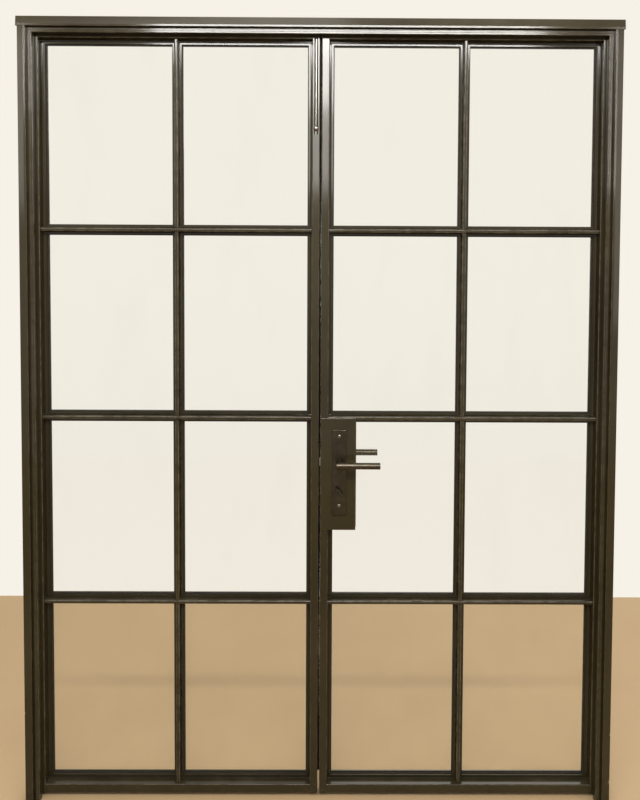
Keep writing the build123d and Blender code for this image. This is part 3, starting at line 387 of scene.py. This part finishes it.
BULB_R = 2.8
BULB_MIDDLE = (4.0, 0.9)
BULB_STEPS = 16
FOOT = [(0.0, 0.0), (0.0, 0.7), (0.25, 0.95), (0.9, 1.0)]
section = list(FOOT)
for step in range(1, BULB_STEPS):
    turn = math.pi * step / BULB_STEPS
    across = BULB_MIDDLE[0] - BULB_R * math.cos(turn)
    section.append((across, BULB_MIDDLE[1] + BULB_R * math.sin(turn)))
section += [(2 * BULB_MIDDLE[0] - across, out) for across, out in reversed(FOOT)]
low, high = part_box("stop_seals")
rings = [[], [], [], []]
for across, out in section:
    x = high[0] - across * MM
    y = low[1] + out * MM
    z = high[2] - across * MM
    for ring, corner in zip(rings, [(-x, y, low[2]), (-x, y, z), (x, y, z), (x, y, low[2])]):
        ring.append(corner)
mesh = bmesh.new()
skinned(mesh, rings)
black_rubber = rubber("black_rubber", 0.5)
fitted("stop_seals", mesh, black_rubber, "frame")


# Hinges. Lift-off steel hinges, three a door, with their halves welded to jamb and stile and
# painted over. The pins are bare steel, dull where grease and dust have dried on them.
STEEL = (0.60, 0.59, 0.56, 1.0)
STEEL_LINES = (0.48, 0.472, 0.448, 1.0)
TARNISH = (0.28, 0.24, 0.19, 1.0)
coat(dark_paint, "hinge_frame_halves", "left_hinge_leaf_halves", "right_hinge_leaf_halves")
drawn_steel, mix, place = blank("drawn_steel")
lines = place.stretch(1.0, 1.0, 0.03).cloud(300.0, 4.0, 0.6)
tarnish = place.cloud(60.0, 5.0, 0.65).rise(0.45, 0.8)
tint = (0.6 * tarnish).blend(lines.blend(STEEL, STEEL_LINES), TARNISH)
gloss = 0.20 + 0.12 * lines + 0.18 * tarnish
skin = lines.relief(0.00003, 0.4)
close(mix, {"Base Color": tint, "Metallic": 1.0, "Roughness": gloss, "Normal": skin})
coat(drawn_steel, "hinge_pins")


# Door leaves. Slim steel sections: hinge and meeting stiles, rails, one upright bar and three cross
# bars halved into it. Their rounded ribs stand to the near side. Same paint as the frame.
for side in ("left", "right"):
    coat(dark_paint, f"{side}_hinge_stile", f"{side}_meeting_stile", f"{side}_top_rail")
    coat(dark_paint, f"{side}_bottom_rail", f"{side}_upright_bar", f"{side}_cross_bars")


# Glazing beads. Thin mitred strips with a raised lip beside the glass. The flat leg of each leans
# back to the lip's foot, which keeps a dark line between the section's face and the bright lip.
LIP_TOP_Y, LEG_Y, LIP_FOOT_Y = 4.0, 7.0, 7.8
TOLERANCE = 0.1


def at_depth(vert, y):
    return abs(vert.co.y - y * MM) < TOLERANCE * MM


def seen_from_front(vert):
    return round(vert.co.x, 5), round(vert.co.z, 5)


for side in ("left", "right"):
    name = f"{side}_glazing_beads"
    mesh = bmesh.new()
    mesh.from_mesh(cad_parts[name].data)
    lip_corners = {seen_from_front(vert) for vert in mesh.verts if at_depth(vert, LIP_TOP_Y)}
    for vert in mesh.verts:
        if at_depth(vert, LEG_Y) and seen_from_front(vert) in lip_corners:
            vert.co.y = LIP_FOOT_Y * MM
    fitted(name, mesh, dark_paint, f"leaf_{side}", facing_out=True)


# Glass. Clear 5 mm panes, eight a door, bedded between a gasket under the beads and a tape on the
# bars' flanges. A wiped film of dust shows only as a faint haze.
GLASS_TINT = (0.985, 0.990, 0.982, 1.0)
FILM_DARK = (0.62, 0.60, 0.56, 1.0)
FILM_LIGHT = (0.72, 0.70, 0.66, 1.0)
LEAST_MIRROR = 0.04
clear_glass, mix, place = blank("clear_glass")
slant = mix.node("ShaderNodeLayerWeight", None, {"Blend": 0.5}, "Facing")
mirror = LEAST_MIRROR + (1.0 - LEAST_MIRROR) * slant ** 5.0
wiped = place.stretch(1.0, 1.0, 0.35).cloud(7.0, 5.0, 0.6)
through = mix.node("ShaderNodeBsdfTransparent", None, {"Color": GLASS_TINT})
polish = 0.015 + 0.05 * wiped
shine = mix.node("ShaderNodeBsdfGlossy", None, {"Roughness": polish})
pane = mix.node("ShaderNodeMixShader", None, {0: mirror, 1: through, 2: shine})
film_feeds = {"Base Color": wiped.blend(FILM_DARK, FILM_LIGHT), "Roughness": 0.9}
film = mix.node("ShaderNodeBsdfPrincipled", None, film_feeds)
haze = 0.004 + 0.016 * wiped.rise(0.45, 0.75)
pane = mix.node("ShaderNodeMixShader", None, {0: haze, 1: pane, 2: film})
mix.node("ShaderNodeOutputMaterial", None, {"Surface": pane})
coat(clear_glass, "left_panes", "right_panes", "right_notched_pane")
coat(black_rubber, "left_gaskets", "right_gaskets", "left_glazing_tape", "right_glazing_tape")


# Strike plate. The left door carries it: flat steel with a dark bronze patina, rubbed paler at its
# edges. Two countersunk screws hold it, of bare steel with 7.6 mm heads and a cross recess.
BRONZE_DARK = (0.058, 0.050, 0.036, 1.0)
BRONZE_LIGHT = (0.082, 0.072, 0.053, 1.0)
BRONZE_WORN = (0.165, 0.138, 0.108, 1.0)
AROUND = 48
SCREW_INSET = 3.8
SCREW_HEAD = [(0.0, 3.5), (0.03, 3.7), (0.12, 3.78), (1.75, 2.0)]
SCREW_TIP = [(5.8, 1.6), (6.0, 1.3)]
RECESS_CORE, RECESS_ARM = 0.55, 1.45
THREAD_FROM, THREAD_STEP, THREAD_RINGS = 1.85, 0.35, 11
THREAD_R, THREAD_DEPTH, THREAD_PITCH = 1.78, 0.2, 1.05


def bronze(name, dark, light, worn, smooth):
    """Steel with a bronze patina, cloudy in tone and rubbed paler on its rounded edges."""
    made, mix, place = blank(name)
    patina = place.cloud(45.0, 5.0, 0.6)
    tint = patina.rise(0.3, 0.75).blend(dark, light)
    touched = place.stretch(0.4, 1.0, 1.0).cloud(90.0, 5.0, 0.6).rise(0.32, 0.70)
    tint = (rounded_off(mix) * touched * 0.5).blend(tint, worn)
    brushed = place.stretch(0.06, 1.0, 1.0).cloud(700.0, 3.0)
    gloss = smooth + 0.12 * brushed + 0.10 * patina
    skin = brushed.relief(0.00003, 0.35)
    close(mix, {"Base Color": tint, "Metallic": 1.0, "Roughness": gloss, "Normal": skin})
    return made


dark_bronze = bronze("dark_bronze", BRONZE_DARK, BRONZE_LIGHT, BRONZE_WORN, 0.24)
coat(dark_bronze, "strike_plate")


def lathed(mesh, start, along, rings):
    """A piece about a line: each ring has its distance along the line and its radius, in mm. A
    radius may be a function of the angle, for a recess that isn't round."""
    up = Vector((0.0, 0.0, 1.0))
    side = up.cross(along)
    loops = []
    for reach, radius in rings:
        loop = []
        for i in range(AROUND):
            angle = 2 * math.pi * i / AROUND
            out = radius(angle) if callable(radius) else radius
            off_line = out * (math.cos(angle) * side + math.sin(angle) * up)
            loop.append(start + MM * (reach * along + off_line))
        loops.append(loop)
    skinned(mesh, loops)


def cross_recess(size):
    return lambda angle: size * (RECESS_CORE + RECESS_ARM * abs(math.cos(2 * angle)) ** 6)


def thread(reach):
    turned = 2 * math.pi * reach / THREAD_PITCH
    return lambda angle: THREAD_R + THREAD_DEPTH * math.cos(angle - turned)


def lock_screws(name, face, along, body):
    """Two countersunk screws, whose heads lie flush in a plate's face."""
    low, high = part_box(name)
    rings = [(1.5, cross_recess(0.35)), (1.2, cross_recess(0.6)), (0.02, cross_recess(1.0))]
    rings += SCREW_HEAD
    for i in range(THREAD_RINGS):
        reach = THREAD_FROM + THREAD_STEP * i
        rings.append((reach, thread(reach)))
    rings += SCREW_TIP
    mesh = bmesh.new()
    for z in (low[2] + SCREW_INSET * MM, high[2] - SCREW_INSET * MM):
        lathed(mesh, Vector((face(low, high), 0.0, z)), Vector((along, 0.0, 0.0)), rings)
    fitted(name, mesh, drawn_steel, body)


lock_screws("strike_screws", lambda low, high: high[0], -1.0, "leaf_left")


# Brush seal. It runs down the far corner of the left door's meeting edge: five rows of stiff black
# bristle tufts, 1.2 mm apart, in a thin backing. They lean a little and no two reach equally far.
BACKING_T, BACKING_CHAMFER = 0.8, 0.3
BRISTLE_ROWS, BRISTLE_STEP, BRISTLE_LEAN = 5, 1.2, 0.35
BRISTLE_ROOT_R, BRISTLE_TIP_R = 0.50, 0.20
BRISTLE_SUNK = 0.1
BRISTLE_REACH = (0.1, 0.25)
FIRST_ROW, ROW_MARGINS = 0.75, 0.5
FIRST_TUFT, TUFT_STAGGER = 0.9, 0.3
random.seed(7)
black_pile = rubber("black_pile", 0.25)
low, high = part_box("meeting_seal")
mesh = bmesh.new()
x0 = low[0] + BACKING_T * MM
corners = [(low[0], low[1]), (x0, low[1] + BACKING_CHAMFER * MM),
           (x0, high[1] - BACKING_CHAMFER * MM), (low[0], high[1])]
skinned(mesh, [[(x, y, z) for x, y in corners] for z in (low[2], high[2])])
tufts = int((high[2] - low[2]) / MM / BRISTLE_STEP) - 1
for row in range(BRISTLE_ROWS):
    y = low[1] + (high[1] - low[1]) * (row + FIRST_ROW) / (BRISTLE_ROWS + ROW_MARGINS)
    for tuft in range(tufts):
        z = low[2] + (tuft + FIRST_TUFT + TUFT_STAGGER * (row % 2)) * BRISTLE_STEP * MM
        tip_x = high[0] + random.uniform(*BRISTLE_REACH) * MM
        lean_y = random.uniform(-BRISTLE_LEAN, BRISTLE_LEAN)
        lean_z = random.uniform(-BRISTLE_LEAN, BRISTLE_LEAN)
        rings = []
        root = (x0 - BRISTLE_SUNK * MM, BRISTLE_ROOT_R, 0.0)
        for x, r, lean in (root, (tip_x, BRISTLE_TIP_R, 1.0)):
            ring = []
            for i in range(3):
                angle = 2 * math.pi * i / 3
                at_y = y + (lean * lean_y + r * math.cos(angle)) * MM
                ring.append((x, at_y, z + (lean * lean_z + r * math.sin(angle)) * MM))
            rings.append(ring)
        skinned(mesh, rings)
fitted("meeting_seal", mesh, black_pile, "leaf_left")


# Top bolt. An 8 mm rod in a slot in the left meeting stile, moved by a turned button with a rounded
# face, runs through a painted guide block into a brass bush in the head. Rod and button are bronze
# rubbed pale by use. The button's stem is cut hollow at its end to fit round the rod.
RUBBED_DARK = (0.165, 0.153, 0.130, 1.0)
RUBBED_LIGHT = (0.240, 0.223, 0.190, 1.0)
RUBBED_WORN = (0.35, 0.325, 0.280, 1.0)
rubbed_bronze = bronze("rubbed_bronze", RUBBED_DARK, RUBBED_LIGHT, RUBBED_WORN, 0.12)
coat(rubbed_bronze, "bolt_rod")
coat(dark_paint, "bolt_guide")

BOLT_Y, BOLT_R = -13.0, 4.0
STEM_END = 9.5
BUTTON = [(0.0, 0.5), (0.02, 1.3), (0.09, 2.4), (0.16, 2.9), (0.5, 3.6), (1.2, 4.6), (2.2, 5.8)]
BUTTON += [(3.2, 6.6), (4.2, 7.0), (5.1, 6.85), (5.7, 6.4), (6.0, 5.7), (6.0, 5.4), (6.0, 3.8)]
BUTTON += [(6.0, 3.5), (6.2, 3.5), (9.0, 3.5)]
BUTTON += [(STEM_END, radius) for radius in (3.5, 3.4, 2.6, 1.7, 0.9, 0.3)]
low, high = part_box("bolt_button")
middle = [(a + b) / 2 for a, b in zip(low, high)]
mesh = bmesh.new()
lathed(mesh, Vector((middle[0], low[1], middle[2])), Vector((0.0, 1.0, 0.0)), BUTTON)
for vert in mesh.verts:
    if vert.co.y > low[1] + (STEM_END - TOLERANCE) * MM:
        beside = (vert.co.x - middle[0]) / MM
        vert.co.y = (BOLT_Y - math.sqrt(BOLT_R ** 2 - beside ** 2)) * MM
fitted("bolt_button", mesh, rubbed_bronze, "top_bolt")

BRASS_CLEAN = (0.70, 0.47, 0.18, 1.0)
BRASS_DULL = (0.32, 0.20, 0.09, 1.0)
brass, mix, place = blank("brass")
dulled = place.cloud(70.0, 5.0, 0.65).rise(0.4, 0.75)
tint = dulled.blend(BRASS_CLEAN, BRASS_DULL)
lathe_lines = place.stretch(0.1, 0.1, 1.0).cloud(1500.0, 2.0)
skin = lathe_lines.relief(0.00002)
gloss = 0.24 + 0.25 * dulled
close(mix, {"Base Color": tint, "Metallic": 1.0, "Roughness": gloss, "Normal": skin})
coat(brass, "bolt_keeper")


# Lock. A steel box welded between the right meeting stile and the notched pane holds a narrow lock
# case, closed on both sides by painted cover plates. Case, latch, bolt, spindles and screws are
# bare steel. The face plate has the same dark bronze patina as the strike plate.
coat(dark_paint, "lock_box", "near_cover_plate", "far_cover_plate")
coat(drawn_steel, "lock_case", "latch_tongue", "deadbolt")
coat(drawn_steel, "lever_spindle", "lever_follower", "turn_spindle", "turn_follower")
coat(dark_bronze, "lock_faceplate")
lock_screws("faceplate_screws", lambda low, high: low[0], 1.0, "leaf_right")


# Handles. Dark bronze back plates, bolted to each other through the lock, carry a plain round lever
# on each side, a thumb turn on the near side and a slotted emergency release on the far side. The
# two bolts have low domed 9 mm heads with a hexagon socket, rubbed paler than the plates.
BOLT_INSET = 4.5
coat(dark_bronze, "near_back_plate", "far_back_plate", "near_lever", "far_lever")
coat(dark_bronze, "thumb_turn", "emergency_release")


def hexagon(half_width):
    return lambda angle: half_width / math.cos(math.fmod(angle, math.pi / 3) - math.pi / 6)


low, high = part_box("plate_bolts")
length = (high[1] - low[1]) / MM
half_bolt = [(1.1, hexagon(1.45)), (0.06, hexagon(1.5)), (0.0, hexagon(1.62)), (0.0, 2.5)]
half_bolt += [(0.12, 3.0), (0.32, 3.5), (0.56, 3.95), (0.85, 4.3), (1.15, 4.46), (1.5, 4.49)]
half_bolt += [(1.5, 2.49)]
bolt_rings = half_bolt + [(length - reach, radius) for reach, radius in reversed(half_bolt)]
middle_x = (low[0] + high[0]) / 2
mesh = bmesh.new()
for z in (low[2] + BOLT_INSET * MM, high[2] - BOLT_INSET * MM):
    lathed(mesh, Vector((middle_x, low[1], z)), Vector((0.0, 1.0, 0.0)), bolt_rings)
fitted("plate_bolts", mesh, rubbed_bronze, "leaf_right")
